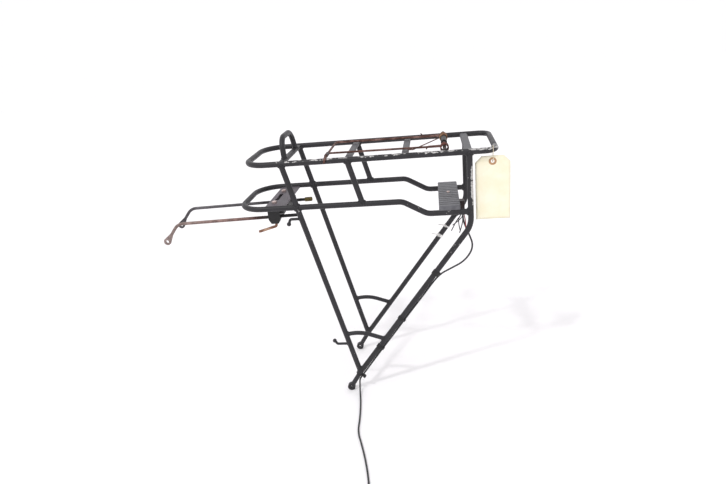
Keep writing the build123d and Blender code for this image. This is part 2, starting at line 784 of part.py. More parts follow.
finish(tag, "blank_tag", "khaki")

with BuildPart() as tag_ring:
    with BuildSketch(Plane.XZ.offset(-TAG_Y + TAG_T / 2)):
        with Locations((TAG_X, TAG_HOLE_Z)):
            Circle(TAG_RING_D / 2)
            Circle(TAG_HOLE_D / 2, mode=Mode.SUBTRACT)
    extrude(amount=TAG_T)
finish(tag_ring, "tag_ring", "peru")

with BuildPart() as string:
    with BuildLine(Plane(origin=(TAG_X, TAG_Y, STRING_Z), z_dir=(1, 0, 0))) as string_path:
        CenterArc((0, 0), STRING_R, 0, 360)
    with BuildSketch(Plane(origin=string_path.line @ 0, z_dir=string_path.line % 0)):
        Circle(STRING_D / 2)
    sweep()
finish(string, "tag_string", "wheat")

os.makedirs("parts", exist_ok=True)
for part in parts:
    export_step(part, f"parts/{part.label}.step")
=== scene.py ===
import math

import bmesh
import bpy
from mathutils import Matrix, Vector
from mathutils.geometry import delaunay_2d_cdt


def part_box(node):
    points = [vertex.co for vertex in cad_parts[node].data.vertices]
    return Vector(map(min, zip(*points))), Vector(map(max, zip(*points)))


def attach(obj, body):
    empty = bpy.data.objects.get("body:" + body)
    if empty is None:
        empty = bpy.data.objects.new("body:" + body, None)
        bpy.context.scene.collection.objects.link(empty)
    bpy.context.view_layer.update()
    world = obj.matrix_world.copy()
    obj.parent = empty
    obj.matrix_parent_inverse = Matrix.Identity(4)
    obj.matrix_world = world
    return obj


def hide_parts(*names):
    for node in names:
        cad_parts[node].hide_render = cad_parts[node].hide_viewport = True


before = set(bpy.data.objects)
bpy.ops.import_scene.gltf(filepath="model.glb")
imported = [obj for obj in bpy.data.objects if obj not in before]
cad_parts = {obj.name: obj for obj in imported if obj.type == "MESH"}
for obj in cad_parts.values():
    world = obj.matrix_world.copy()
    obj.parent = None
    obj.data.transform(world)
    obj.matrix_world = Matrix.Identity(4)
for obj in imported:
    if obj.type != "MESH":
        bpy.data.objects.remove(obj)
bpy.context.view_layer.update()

bl_info = {
    "name": "Bicycle Rear Carrier",
    "version": (1, 0, 0),
    "blender": (4, 5, 0),
    "location": "3D View > Sidebar > Carrier",
    "description": "A welded rod carrier with a sprung clip, stays, cover block, light lead and tag",
    "category": "Add Mesh",
}

MM = 0.001
SIDES = {"left": -1, "right": 1}

# The frame's own lines, in millimetres, for the pieces that sit on them
HALF_WIDTH = 75.0
ROD_R = 5.0
DECK_Z = 460.0
LOWER_Z = 380.0
LOWER_REAR_Z = 356.0
FRONT_LEG_TOP = Vector((-79.0, 0.0, DECK_Z))
FOOT = Vector((21.0, 0.0, 33.0))
REAR_BEND = Vector((243.0, 0.0, 330.0))
STRUT_TOP = Vector((37.0, 0.0, DECK_Z))
STRUT_BOTTOM = Vector((57.5, 0.0, LOWER_Z))
BRACE_FRONT_Z = 119.0
BRACE_CROWN = Vector((30.0, 0.0, 124.0))
BRACE_REAR_Z = 107.0
BRACE_R = 4.0
HOOP_FOOT_Y = 44.0
HOOK_STEMS_Z = (358.5, 98.5)
HOOK_R = 2.5
SHANK_R = 4.5
AXLE = Vector((203.0, 0.0, 464.5))
AXLE_R = 3.0
SLATS = {"front": (-79.0, 6.0), "middle": (38.0, 6.0), "third": (136.0, 6.0), "rear": (241.0, 7.0)}
SLAT_HALF_T = 3.0
PLATE_X = (-123.0, -88.0)
PLATE_FACES_Z = (379.5, 376.5)
ALONG_X = Vector((1.0, 0.0, 0.0))
ALONG_Y = Vector((0.0, 1.0, 0.0))
ALONG_Z = Vector((0.0, 0.0, 1.0))
FRONT_LEG = (FRONT_LEG_TOP - FOOT).normalized()
REAR_LEG = (REAR_BEND - FOOT).normalized()
LEG_BACK = Vector((REAR_LEG.z, 0.0, -REAR_LEG.x))

FLOOR_Z = -7.5
FLOOR_HALF_WIDTH_M = 6.0

# The camera, in metres and radians, and the way towards the key light
CAMERA_PLACE = (0.1876, -1.0021, 0.672)
CAMERA_YAW = 0.146
CAMERA_PITCH = -0.370
CAMERA_ROLL = 0.0992
CAMERA_SENSOR = 36.0
TOWARDS_KEY = Vector((-0.376, -0.483, 0.79)).normalized()
KEY_DISTANCE_M = 2.4
CARRIER_MIDDLE_M = Vector((0.0, 0.0, 0.25))

# The light lead's route, in millimetres: out of the connector, round the bend of the left rear leg,
# down the leg through its clips, and along the floor
LEAD_D = 3.2
LEAD_LOOP = [
    (230.0, -45.0, 348.0),
    (230.0, -45.0, 330.0),
    (239.0, -60.0, 311.0),
    (247.0, -74.0, 290.0),
    (231.0, -77.0, 265.0),
    (205.0, -76.0, 250.5),
]
# height on the leg, distance from its middle
LEAD_ON_LEG = [
    (242.5, 6.7),
    (204.0, 7.0),
    (160.0, 6.7),
    (121.0, 7.0),
    (91.0, 6.7),
    (60.0, 7.0),
    (27.0, 7.4),
]
LEAD_ON_FLOOR = [
    (17.8, -75.0, 16.1),
    (17.3, -79.0, 4.0),
    (18.5, -93.0, -5.9),
    (22.8, -121.6, -5.9),
    (26.4, -166.2, -5.9),
    (26.7, -203.5, -5.9),
    (38.1, -237.6, -5.9),
    (50.2, -280.7, -5.9),
    (59.2, -323.6, -5.9),
    (63.7, -360.9, -5.0),
]
WIRE_D = 1.8
LOOSE_WIRES = {
    "red_wire": ("wire_red", [
        (232.5, -48.5, 348.0), (232.5, -48.5, 341.0), (234.5, -61.0, 334.0), (234.0, -65.0, 319.0),
    ]),
    "black_wire_front": ("wires_black", [
        (228.0, -41.0, 348.0), (228.0, -41.0, 340.0), (221.0, -44.0, 330.0), (225.0, -48.0, 311.0),
    ]),
    "black_wire_side": ("wires_black", [
        (227.5, -49.5, 348.0), (227.5, -49.5, 341.0), (219.0, -54.0, 334.0), (209.0, -57.0, 315.0),
    ]),
    "black_wire_low": ("wires_black", [
        (227.2, -45.5, 348.0), (227.2, -45.5, 342.0), (210.0, -49.0, 337.0), (199.0, -50.0, 326.0),
    ]),
    "black_wire_inner": ("wires_black", [
        (232.6, -41.2, 348.0), (232.6, -41.2, 339.0), (224.0, -37.0, 327.0), (212.0, -39.0, 319.0),
    ]),
    "black_wire_outer": ("wires_black", [
        (230.0, -50.2, 348.0), (230.0, -51.5, 338.0), (229.0, -62.0, 330.0), (223.0, -66.0, 314.0),
    ]),
}
# height on the right rear leg, width
WHITE_TIES = {"white_tie_wide": (258.0, 6.0), "white_tie_narrow": (277.0, 2.5)}
TIE_TAIL = Vector((-0.82, -0.25, 0.5)).normalized() * 17.0
TIE_TAIL_SAG = 3.0
TIE_HEAD_WIDEST = 4.4
TIE_HEAD_OVERHANG = 1.2
TIE_HEAD_T = 3.4
TIE_HEAD_ACROSS = 4.2
TIE_BAND_T = 1.15
TIE_BAND_CLEARANCE = 0.06
TIE_TAIL_STEPS = 4
STRING_D = 1.0
TAG_T = 0.5
KNOT_MIDDLE = Vector((281.0, -68.0, 439.8))
KNOT_SIZE = (2.2, 5.0, 2.2)
KNOT_EDGE = 0.8
TAG_CORNER = 11.0
TAG_HOLE_R = 3.0
TAG_HOLE_STEPS = 20
TAG_EDGE_STEPS = 10
TAG_COLUMNS = 14
TAG_ROWS = 26
TAG_STRAIGHT_BELOW_HOLE = 7.0
STRING_ROUTE = [
    (281.0, -69.6, 439.8),
    (281.0, -76.0, 441.0),
    (281.0, -82.0, 448.0),
    (281.0, -83.0, 458.0),
    (281.0, -79.0, 466.5),
    (281.0, -71.0, 467.0),
    (281.0, -64.0, 463.0),
    (281.0, -60.0, 453.0),
    (281.0, -61.0, 444.0),
    (281.0, -66.4, 439.8),
]


def linear(code):
    """An sRGB hex colour as linear RGBA."""
    channels = [int(code[i:i + 2], 16) / 255 for i in (0, 2, 4)]
    return (*[c / 12.92 if c <= 0.04045 else ((c + 0.055) / 1.055) ** 2.4 for c in channels], 1.0)


def add_node(tree, kind, settings=None, values=None, links=None, stops=None):
    """Adds a node: its settings, its sockets' values, the output that feeds each linked socket, and a
    ramp's (place, colour) stops."""
    made = tree.nodes.new(kind)
    for name, value in (settings or {}).items():
        setattr(made, name, value)
    for socket, value in (values or {}).items():
        made.inputs[socket].default_value = value
    for socket, source in (links or {}).items():
        tree.links.new(source, made.inputs[socket])
    for index, (place, colour) in enumerate(stops or ()):
        band = made.color_ramp.elements
        element = band[index] if index < 2 else band.new(place)
        element.position = place
        element.color = colour
    return made


def start_material(name, **patterns):
    """An empty node material, its Object coordinates, and a noise for each (size in mm, detail) pattern."""
    material = bpy.data.materials.new(name)
    material.use_nodes = True
    tree = material.node_tree
    tree.nodes.clear()
    place = add_node(tree, "ShaderNodeTexCoord").outputs["Object"]
    noises = {}
    for label, (size_mm, detail, stretch) in patterns.items():
        mapped = add_node(tree, "ShaderNodeMapping", values={"Scale": stretch}, links={"Vector": place})
        noises[label] = add_node(
            tree, "ShaderNodeTexNoise",
            values={"Scale": 1.0 / (size_mm * MM), "Detail": detail, "Roughness": 0.6},
            links={"Vector": mapped.outputs["Vector"]},
        ).outputs["Fac"]
    return material, tree, place, noises


def end_material(tree, values, links, height, depth_mm):
    """Closes a material with its bump, shader and output."""
    bump = add_node(tree, "ShaderNodeBump", values={"Distance": depth_mm * MM}, links={"Height": height})
    shader = add_node(
        tree, "ShaderNodeBsdfPrincipled", values=values, links={**links, "Normal": bump.outputs["Normal"]},
    )
    add_node(tree, "ShaderNodeOutputMaterial", links={"Surface": shader.outputs["BSDF"]})


def chip_and_highlight_patches(tree, place, patches):
    """How much chipped coat and painted highlight each spot gets, from ellipsoids given as (middle, half
    size, share), in millimetres.
    """
    total = None
    for middle, half_size, share in patches:
        local = add_node(
            tree, "ShaderNodeMapping", {"vector_type": "TEXTURE"},
            {"Location": Vector(middle) * MM, "Scale": Vector(half_size) * MM},
            {"Vector": place},
        )
        reach = add_node(
            tree, "ShaderNodeVectorMath", {"operation": "LENGTH"}, links={0: local.outputs[0]},
        )
        patch = add_node(
            tree, "ShaderNodeMapRange",
            values={"From Min": 0.6, "From Max": 1.0, "To Min": share, "To Max": 0.0},
            links={"Value": reach.outputs["Value"]},
        ).outputs["Result"]
        if total is None:
            total = patch
        else:
            total = add_node(
                tree, "ShaderNodeMath", {"operation": "MAXIMUM"}, links={0: total, 1: patch},
            ).outputs[0]
    return total


# Where the powder coat has chipped, with painted highlight in the thin bright strips along the lit near tops
# of the deck rail and rear legs: (middle, half size, share), in millimetres
DECK_CHIPS_AND_PAINTED_HIGHLIGHT = [
    ((262.0, -76.0, 464.0), (34.0, 5.0, 4.0), 0.25),
    ((286.0, -62.0, 464.0), (8.0, 20.0, 4.0), 0.24),
    ((190.0, -77.0, 464.0), (58.0, 4.5, 3.5), 0.20),
    ((95.0, -77.0, 464.0), (60.0, 4.5, 3.5), 0.17),
    ((0.0, -77.0, 464.0), (50.0, 4.5, 3.5), 0.20),
    ((-60.0, -77.0, 464.0), (34.0, 4.5, 3.5), 0.18),
]
# the thin bright lines down the near rear upright and slanted leg are partly chipped coat and partly painted
# highlight
REAR_LEG_CHIPS_AND_PAINTED_HIGHLIGHT = [
    ((246.5, -78.5, 405.0), (4.0, 4.0, 50.0), 0.26),
    ((215.0, -79.5, 292.0), (22.0, 3.0, 30.0), 0.07),
]
CHIPS_FRONT_LEG = [
    ((-60.0, -79.0, 378.0), (7.0, 4.0, 9.0), 0.12),
]
CHIPS_LOWER = [
    ((200.0, -78.0, 358.0), (40.0, 4.0, 4.0), 0.06),
]
GREY = {"black": (0.0, 0.0, 0.0, 1.0), "white": (1.0, 1.0, 1.0, 1.0)}
EVEN = (1.0, 1.0, 1.0)
ALONG_ROD = (0.5, 1.0, 1.0)


def powder_coat(name, coat, patches):
    """Powder coat on aluminium rod: a satin polyester skin, baked on, with a fine orange peel.
    It gives a soft, broad sheen, dulled by handling, and chips to bright metal at its rubbed side; along the
    lit near tops of the deck rail and rear legs these bright patches are partly a painted highlight."""
    material, tree, place, noises = start_material(
        name, scuffs=(26.0, 4.0, EVEN), peel=(1.1, 2.0, EVEN), flakes=(5.0, 5.0, ALONG_ROD),
        dulling=(3.0, 3.0, EVEN),
    )
    shade = add_node(
        tree, "ShaderNodeValToRGB", links={"Fac": noises["scuffs"]},
        stops=[(0.3, linear(coat[0])), (0.72, linear(coat[1]))],
    ).outputs["Color"]
    # the bright patches are chipped coat and, on the lit near tops of the rods, painted highlight
    chip_and_highlight_share = chip_and_highlight_patches(tree, place, patches)
    chance = add_node(
        tree, "ShaderNodeMath", {"operation": "ADD"}, links={0: noises["flakes"], 1: chip_and_highlight_share},
    ).outputs[0]
    chip_and_highlight_mask = add_node(
        tree, "ShaderNodeValToRGB", links={"Fac": chance},
        stops=[(0.70, GREY["black"]), (0.72, GREY["white"])],
    ).outputs["Color"]
    # bare aluminium, dull and pale where it has weathered; the same pale colour makes the painted highlight
    # in the bright strips on the lit rod tops
    metal = add_node(
        tree, "ShaderNodeValToRGB", links={"Fac": noises["dulling"]},
        stops=[(0.3, linear("8f8d8c")), (0.7, linear("d2d0ce"))],
    ).outputs["Color"]
    colour = add_node(
        tree, "ShaderNodeMix", {"data_type": "RGBA"}, links={0: chip_and_highlight_mask, 6: shade, 7: metal},
    ).outputs[2]
    metallic = add_node(
        tree, "ShaderNodeMath", {"operation": "MULTIPLY"}, {1: 0.5}, {0: chip_and_highlight_mask},
    ).outputs[0]
    rough = add_node(
        tree, "ShaderNodeMapRange",
        values={"From Min": 0.3, "From Max": 0.7, "To Min": 0.36, "To Max": 0.52},
        links={"Value": noises["scuffs"]},
    ).outputs["Result"]
    peeled = add_node(
        tree, "ShaderNodeMath", {"operation": "MULTIPLY"}, {1: 0.12}, {0: noises["peel"]},
    ).outputs[0]
    height = add_node(
        tree, "ShaderNodeMath", {"operation": "SUBTRACT"}, links={0: peeled, 1: chip_and_highlight_mask},
    ).outputs[0]
    end_material(
        tree, {"IOR": 1.42}, {"Base Color": colour, "Metallic": metallic, "Roughness": rough}, height, 0.12,
    )
    return material


def rusted_steel(name, bright, brown, dark, share, metallic=0.3):
    """Plated steel that has rusted through: a thin brown bloom, matt and grainy, over dull metal."""
    material, tree, _, noises = start_material(
        name, bloom=(9.0, 5.0, ALONG_ROD), grains=(0.9, 3.0, EVEN),
    )
    base = add_node(
        tree, "ShaderNodeValToRGB", links={"Fac": noises["bloom"]},
        stops=[
            (0.5 - share, linear(bright)), (0.56 - share * 0.4, linear(brown)), (0.74, linear(dark)),
        ],
    ).outputs["Color"]
    speckle = add_node(
        tree, "ShaderNodeValToRGB", links={"Fac": noises["grains"]},
        stops=[(0.42, linear(dark)), (0.62, GREY["white"])],
    ).outputs["Color"]
    tinted = add_node(
        tree, "ShaderNodeMix", {"data_type": "RGBA", "blend_type": "MULTIPLY"}, {0: 0.32},
        {6: base, 7: speckle},
    ).outputs[2]
    rough = add_node(
        tree, "ShaderNodeMapRange",
        values={"From Min": 0.35, "From Max": 0.65, "To Min": 0.45, "To Max": 0.72},
        links={"Value": noises["bloom"]},
    ).outputs["Result"]
    end_material(
        tree, {"Metallic": metallic}, {"Base Color": tinted, "Roughness": rough}, noises["grains"], 0.12,
    )
    return material


def stay_finish(name, tones, joins_mm):
    """Plated steel stay: pinkish rust bloom at the open front, darker towards the clamp, and its black paint
    left on the tail;
    a lighter grey middle on the black stay is a painted highlight. tones run from the eye to the tail, and
    joins are along X."""
    material, tree, place, noises = start_material(
        name, wobble=(12.0, 4.0, EVEN), grains=(0.9, 3.0, EVEN), blotches=(6.0, 5.0, ALONG_ROD),
    )
    along = add_node(tree, "ShaderNodeSeparateXYZ", links={"Vector": place}).outputs["X"]
    shifted = add_node(
        tree, "ShaderNodeMath", {"operation": "MULTIPLY_ADD"}, {1: 0.02}, {0: noises["wobble"], 2: along},
    ).outputs[0]
    reach = add_node(
        tree, "ShaderNodeMapRange",
        values={"From Min": joins_mm[0] * MM, "From Max": joins_mm[-1] * MM},
        links={"Value": shifted},
    ).outputs["Result"]
    span = joins_mm[-1] - joins_mm[0]
    base = add_node(
        tree, "ShaderNodeValToRGB", links={"Fac": reach},
        stops=[((x - joins_mm[0]) / span, linear(tone)) for x, tone in zip(joins_mm, tones)],
    ).outputs["Color"]
    blotch = add_node(
        tree, "ShaderNodeValToRGB", links={"Fac": noises["blotches"]},
        stops=[(0.4, linear("6a5a58")), (0.62, GREY["white"])],
    ).outputs["Color"]
    colour = add_node(
        tree, "ShaderNodeMix", {"data_type": "RGBA", "blend_type": "MULTIPLY"}, {0: 0.55},
        {6: base, 7: blotch},
    ).outputs[2]
    rough = add_node(
        tree, "ShaderNodeMath", {"operation": "MULTIPLY_ADD"}, {1: 0.25, 2: 0.3}, {0: noises["grains"]},
    ).outputs[0]
    end_material(
        tree, {"Metallic": 0.35}, {"Base Color": colour, "Roughness": rough}, noises["grains"], 0.08,
    )
    return material


def two_toned(name, tones, rough, values, mottle_mm, grain_mm, depth_mm, stretch=EVEN):
    """A material of two close tones in soft patches, over a fine grain that is bumped."""
    material, tree, _, noises = start_material(
        name, mottle=(mottle_mm, 4.0, EVEN), grain=(grain_mm, 2.0, stretch),
    )
    colour = add_node(
        tree, "ShaderNodeValToRGB", links={"Fac": noises["mottle"]},
        stops=[(0.35, linear(tones[0])), (0.68, linear(tones[1]))],
    ).outputs["Color"]
    spread = add_node(
        tree, "ShaderNodeMath", {"operation": "MULTIPLY_ADD"}, {1: 0.2, 2: rough - 0.1},
        {0: noises["mottle"]},
    ).outputs[0]
    end_material(tree, values, {"Base Color": colour, "Roughness": spread}, noises["grain"], depth_mm)
    return material


def moulded_plastic(name, tones, rough, grain_mm=0.8, depth_mm=0.03):
    """Injection-moulded plastic: an even matt skin, fine spark-eroded grain, greyed a little by dust."""
    return two_toned(name, tones, rough, {"IOR": 1.46}, 14.0, grain_mm, depth_mm)


def plated_metal(name, tones, rough, metallic=0.8):
    """Plated or solid small metalwork: a dull metal sheen, mottled by handling and the first rust."""
    return two_toned(name, tones, rough, {"Metallic": metallic}, 3.0, 0.6, 0.05)


def cord_sheath(name, tones, rough=0.42):
    """Extruded soft PVC: smooth and slightly glossy, with dust in faint bands."""
    return two_toned(name, tones, rough, {"IOR": 1.53}, 11.0, 0.7, 0.03)


def tag_card(name, tones, fibre_mm=0.9):
    """Manila card: soft buff paper with short flecks of fibre and faint handling marks, quite matt."""
    return two_toned(name, tones, 0.82, {"IOR": 1.45}, 24.0, fibre_mm, 0.04, (1.0, 1.0, 0.25))


def twisted_twine(name, tones, lay_mm=1.6):
    """Cotton twine: two soft plies laid round each other, so it shows slanted ridges."""
    material, tree, place, _ = start_material(name)
    ridges = add_node(
        tree, "ShaderNodeTexWave", {"bands_direction": "DIAGONAL"},
        {"Scale": 1.0 / (lay_mm * MM * 3.0), "Distortion": 1.0}, {"Vector": place},
    ).outputs["Fac"]
    colour = add_node(
        tree, "ShaderNodeValToRGB", links={"Fac": ridges},
        stops=[(0.1, linear(tones[0])), (0.9, linear(tones[1]))],
    ).outputs["Color"]
    end_material(tree, {"Roughness": 0.85}, {"Base Color": colour}, ridges, 0.15)
    return material


# The finishes, each by what it is. The coat is satin black; the slats' tops are worn to grey.
def make_finishes():
    """All of the materials, by short name."""
    coat = ("1f1e21", "2c2b2f")
    return {
        "deck": powder_coat("powder_coat_deck", coat, DECK_CHIPS_AND_PAINTED_HIGHLIGHT),
        "rear_leg": powder_coat("powder_coat_rear_legs", coat, REAR_LEG_CHIPS_AND_PAINTED_HIGHLIGHT),
        "front_leg": powder_coat("powder_coat_front_legs", coat, CHIPS_FRONT_LEG),
        "lower": powder_coat("powder_coat_lower_rails", coat, CHIPS_LOWER),
        "slat": powder_coat("powder_coat_rubbed_slats", ("38373b", "58585c"), CHIPS_LOWER),
        "plate": powder_coat("powder_coat_front_plate", ("443e45", "625a62"), CHIPS_LOWER),
        "stay_left": stay_finish(
            "rusted_plated_stay", ("a2918d", "97857f", "8a6a63", "4a302c", "1b1a1b"),
            (-340.0, -300.0, -165.0, -135.0, -112.0),
        ),
        # the black stay's lighter grey middle tones (5d5a5e, 4b494d) are a painted highlight along it
        "stay_right": stay_finish(
            "black_painted_stay_with_painted_highlight", ("3a383b", "5d5a5e", "4b494d", "242326", "1b1a1b"),
            (-340.0, -290.0, -180.0, -130.0, -112.0),
        ),
        "bail": rusted_steel("rusted_spring_steel", "8a6a62", "5c3a30", "35211d", 0.12),
        "bar": rusted_steel("browned_deck_bar", "4d4a4c", "5b433d", "2f2524", 0.02),
        "coil_left": rusted_steel("red_rusted_coil", "8c4c3a", "602c20", "381a14", 0.16),
        "coil_right": rusted_steel("tan_rusted_coil", "a88460", "7c563a", "482e20", 0.14),
        "pin": rusted_steel("tan_rusted_pin", "c4a48c", "99705a", "5e4032", 0.14),
        "steel": plated_metal("zinc_plated_steel", ("a8938e", "e2d0cb"), 0.4, 0.6),
        "brass": plated_metal("tarnished_brass", ("3f381e", "6e6038"), 0.5),
        "block": moulded_plastic("moulded_grey_plastic", ("55555a", "6c6c70"), 0.42, 1.0, 0.04),
        "plastic": moulded_plastic("moulded_black_nylon", ("0e0e0f", "1b1a1c"), 0.5),
        "connector": moulded_plastic("moulded_brown_black_plastic", ("1c1516", "3a2a29"), 0.4),
        "nylon": moulded_plastic("white_nylon", ("d9d8d6", "f0efed"), 0.45),
        "lead": cord_sheath("black_pvc_sheath", ("1c1c1f", "333336")),
        "red": cord_sheath("red_pvc_sheath", ("7c1418", "a8262a")),
        "card": tag_card("buff_manila_card", ("f4edd0", "faf4de")),
        "ring": tag_card("brown_fibre_ring", ("a8805e", "c09a76"), 0.5),
        "twine": twisted_twine("cotton_twine", ("b8a888", "e6dcc4")),
    }


NODE_FINISH = {
    "deck_loop": "deck", "front_hoop": "deck",
    "rear_leg_left": "rear_leg", "rear_leg_right": "rear_leg",
    "front_leg_left": "front_leg", "front_leg_right": "front_leg",
    "side_strut_left": "front_leg", "side_strut_right": "front_leg",
    "leg_brace_left": "front_leg", "leg_brace_right": "front_leg",
    "dropout_lug_left": "front_leg", "dropout_lug_right": "front_leg",
    "strap_hook_upper": "front_leg", "strap_hook_lower": "front_leg",
    "lower_front_loop": "lower", "lower_rail_left": "lower", "lower_rail_right": "lower",
    "deck_slat_front": "deck", "deck_slat_middle": "slat",
    "deck_slat_third": "slat", "deck_slat_rear": "slat",
    "front_plate": "plate", "clip_axle": "bar",
    "stay_left": "stay_left", "stay_right": "stay_right", "stay_end_cap_right": "brass",
    "stay_bolts": "steel", "stay_nuts": "steel", "block_screw": "steel",
    "stay_clamp_left": "plastic", "stay_clamp_right": "plastic",
    "clamp_set_screw_left": "plastic", "clamp_set_screw_right": "plastic",
    "clamp_bent_pin": "pin",
    "clip_bail": "bail", "clip_grip": "bar", "clip_bush": "plastic",
    "clip_spring_long": "bail", "clip_spring_end_left": "bail", "clip_spring_end_right": "bail",
    "rear_block": "block", "light_connector": "connector",
    "lead_clip_upper": "plastic", "lead_clip_middle": "plastic", "lead_clip_lower": "plastic",
    "lead_tie_foot": "plastic", "lead_tie_head": "plastic", "light_lead_plug": "plastic",
    "tag_ring": "ring",
}
FINISHES = {}


def place_piece(name, data, finish, body, replaced=()):
    """Puts a finished shape in the scene as a piece that rides on a body."""
    piece = bpy.data.objects.new(name, data)
    bpy.context.scene.collection.objects.link(piece)
    piece.data.materials.clear()
    piece.data.materials.append(FINISHES[finish])
    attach(piece, body)
    if replaced:
        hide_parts(*replaced)
    return piece


def plain_mesh(piece):
    """Turns a piece's live modifiers into its own mesh."""
    graph = bpy.context.evaluated_depsgraph_get()
    made = bpy.data.meshes.new_from_object(piece.evaluated_get(graph), depsgraph=graph)
    piece.modifiers.clear()
    piece.data = made
    for face in made.polygons:
        face.use_smooth = True
    return made


def nurbs_curve(name, points_mm, diameter_mm):
    """A round cord along one smooth spline."""
    curve = bpy.data.curves.new(name, "CURVE")
    curve.dimensions = "3D"
    spline = curve.splines.new("NURBS")
    spline.points.add(len(points_mm) - 1)
    for point, place in zip(spline.points, points_mm):
        point.co = (*[c * MM for c in place], 1.0)
    spline.order_u = 3
    spline.use_endpoint_u = True
    curve.resolution_u = 10
    curve.bevel_depth = diameter_mm * MM / 2
    curve.bevel_resolution = 4
    curve.use_fill_caps = True
    return curve


def leg_point(z, offset=0.0, y=-HALF_WIDTH):
    """A point beside the slanted rear leg, offset away from its underside, in millimetres."""
    middle = Vector((FOOT.x, y, FOOT.z)) + REAR_LEG * ((z - FOOT.z) / REAR_LEG.z)
    return middle + LEG_BACK * offset


def front_leg_x(z):
    """The middle of the front leg at height z, in millimetres."""
    share = (DECK_Z - z) / (DECK_Z - FOOT.z)
    return FRONT_LEG_TOP.x + share * (FOOT.x - FRONT_LEG_TOP.x)


# ---------------------------------------------------------------- geometry node trees

def geometry_tree(name, inputs):
    """A geometry node tree with named inputs, its group input and its output."""
    tree = bpy.data.node_groups.new(name, "GeometryNodeTree")
    tree.interface.new_socket("Geometry", in_out="OUTPUT", socket_type="NodeSocketGeometry")
    for label, kind, default in inputs:
        socket = tree.interface.new_socket(label, in_out="INPUT", socket_type=kind)
        if default is not None:
            socket.default_value = default
    return tree, add_node(tree, "NodeGroupInput").outputs, add_node(tree, "NodeGroupOutput")


def finish_tree(tree, group_output, shape, finish):
    """Ends a tree in realized instances with their material."""
    realized = add_node(tree, "GeometryNodeRealizeInstances", links={0: shape})
    painted = add_node(
        tree, "GeometryNodeSetMaterial", values={"Material": FINISHES[finish]},
        links={0: realized.outputs[0]},
    )
    tree.links.new(painted.outputs[0], group_output.inputs[0])


def run_tree(piece, tree, settings):
    """Gives a piece a tree and the tree's named inputs, then keeps the plain mesh that it makes."""
    modifier = piece.modifiers.new(tree.name, "NODES")
    modifier.node_group = tree
    for item in tree.interface.items_tree:
        if item.item_type == "SOCKET" and item.in_out == "INPUT" and item.name in settings:
            modifier[item.identifier] = settings[item.name]
    return plain_mesh(piece)


def weld_tree():
    """Weld beads: a rippled round bead along each line of the mesh, as thick as the line's own thickness."""
    tree, given, output = geometry_tree("weld_beads", [
        ("Geometry", "NodeSocketGeometry", None),
        ("Ripple Pitch", "NodeSocketFloat", 1.6 * MM),
        ("Ripple Depth", "NodeSocketFloat", 0.16),
        ("Sides", "NodeSocketInt", 8),
    ])
    lines = add_node(tree, "GeometryNodeMeshToCurve", links={"Mesh": given["Geometry"]})
    along = add_node(tree, "GeometryNodeSplineParameter").outputs["Length"]
    turns = add_node(
        tree, "ShaderNodeMath", {"operation": "DIVIDE"}, links={0: along, 1: given["Ripple Pitch"]},
    )
    wave = add_node(tree, "ShaderNodeMath", {"operation": "SINE"}, links={
        0: add_node(
            tree, "ShaderNodeMath", {"operation": "MULTIPLY"}, {1: 2 * math.pi}, {0: turns.outputs[0]},
        ).outputs[0],
    })
    ripple = add_node(
        tree, "ShaderNodeMath", {"operation": "MULTIPLY_ADD"}, {2: 1.0},
        {0: wave.outputs[0], 1: given["Ripple Depth"]},
    )
    thickness = add_node(tree, "GeometryNodeInputNamedAttribute", {"data_type": "FLOAT"}, {"Name": "bead"})
    radius = add_node(
        tree, "ShaderNodeMath", {"operation": "MULTIPLY"},
        links={0: ripple.outputs[0], 1: thickness.outputs["Attribute"]},
    )
    ring = add_node(
        tree, "GeometryNodeCurvePrimitiveCircle", values={"Radius": 1.0},
        links={"Resolution": given["Sides"]},
    )
    bead = add_node(
        tree, "GeometryNodeCurveToMesh", values={"Fill Caps": True},
        links={
            "Curve": lines.outputs["Curve"], "Profile Curve": ring.outputs["Curve"],
            "Scale": radius.outputs[0],
        },
    )
    finish_tree(tree, output, bead.outputs["Mesh"], "front_leg")
    return tree


def coil_tree(finish):
    """A close-wound spring: wire turned along the Y axis, from its start to its length."""
    tree, given, output = geometry_tree(f"spring_coil_{finish}", [
        ("Turns", "NodeSocketFloat", 8.0),
        ("Middle Radius", "NodeSocketFloat", 6.0 * MM),
        ("Length", "NodeSocketFloat", 18.0 * MM),
        ("Wire Radius", "NodeSocketFloat", 1.2 * MM),
        ("Start", "NodeSocketVector", (0.0, 0.0, 0.0)),
        ("Points Per Turn", "NodeSocketInt", 28),
    ])
    spiral = add_node(tree, "GeometryNodeCurveSpiral", links={
        "Resolution": given["Points Per Turn"], "Rotations": given["Turns"],
        "Start Radius": given["Middle Radius"], "End Radius": given["Middle Radius"],
        "Height": given["Length"],
    })
    laid = add_node(
        tree, "GeometryNodeTransform", values={"Rotation": (-math.pi / 2, 0.0, 0.0)},
        links={"Geometry": spiral.outputs["Curve"], "Translation": given["Start"]},
    )
    wire = add_node(
        tree, "GeometryNodeCurvePrimitiveCircle", values={"Resolution": 12},
        links={"Radius": given["Wire Radius"]},
    )
    swept = add_node(
        tree, "GeometryNodeCurveToMesh", values={"Fill Caps": True},
        links={"Curve": laid.outputs["Geometry"], "Profile Curve": wire.outputs["Curve"]},
    )
    finish_tree(tree, output, swept.outputs["Mesh"], finish)
    return tree


# ---------------------------------------------------------------- weld lines

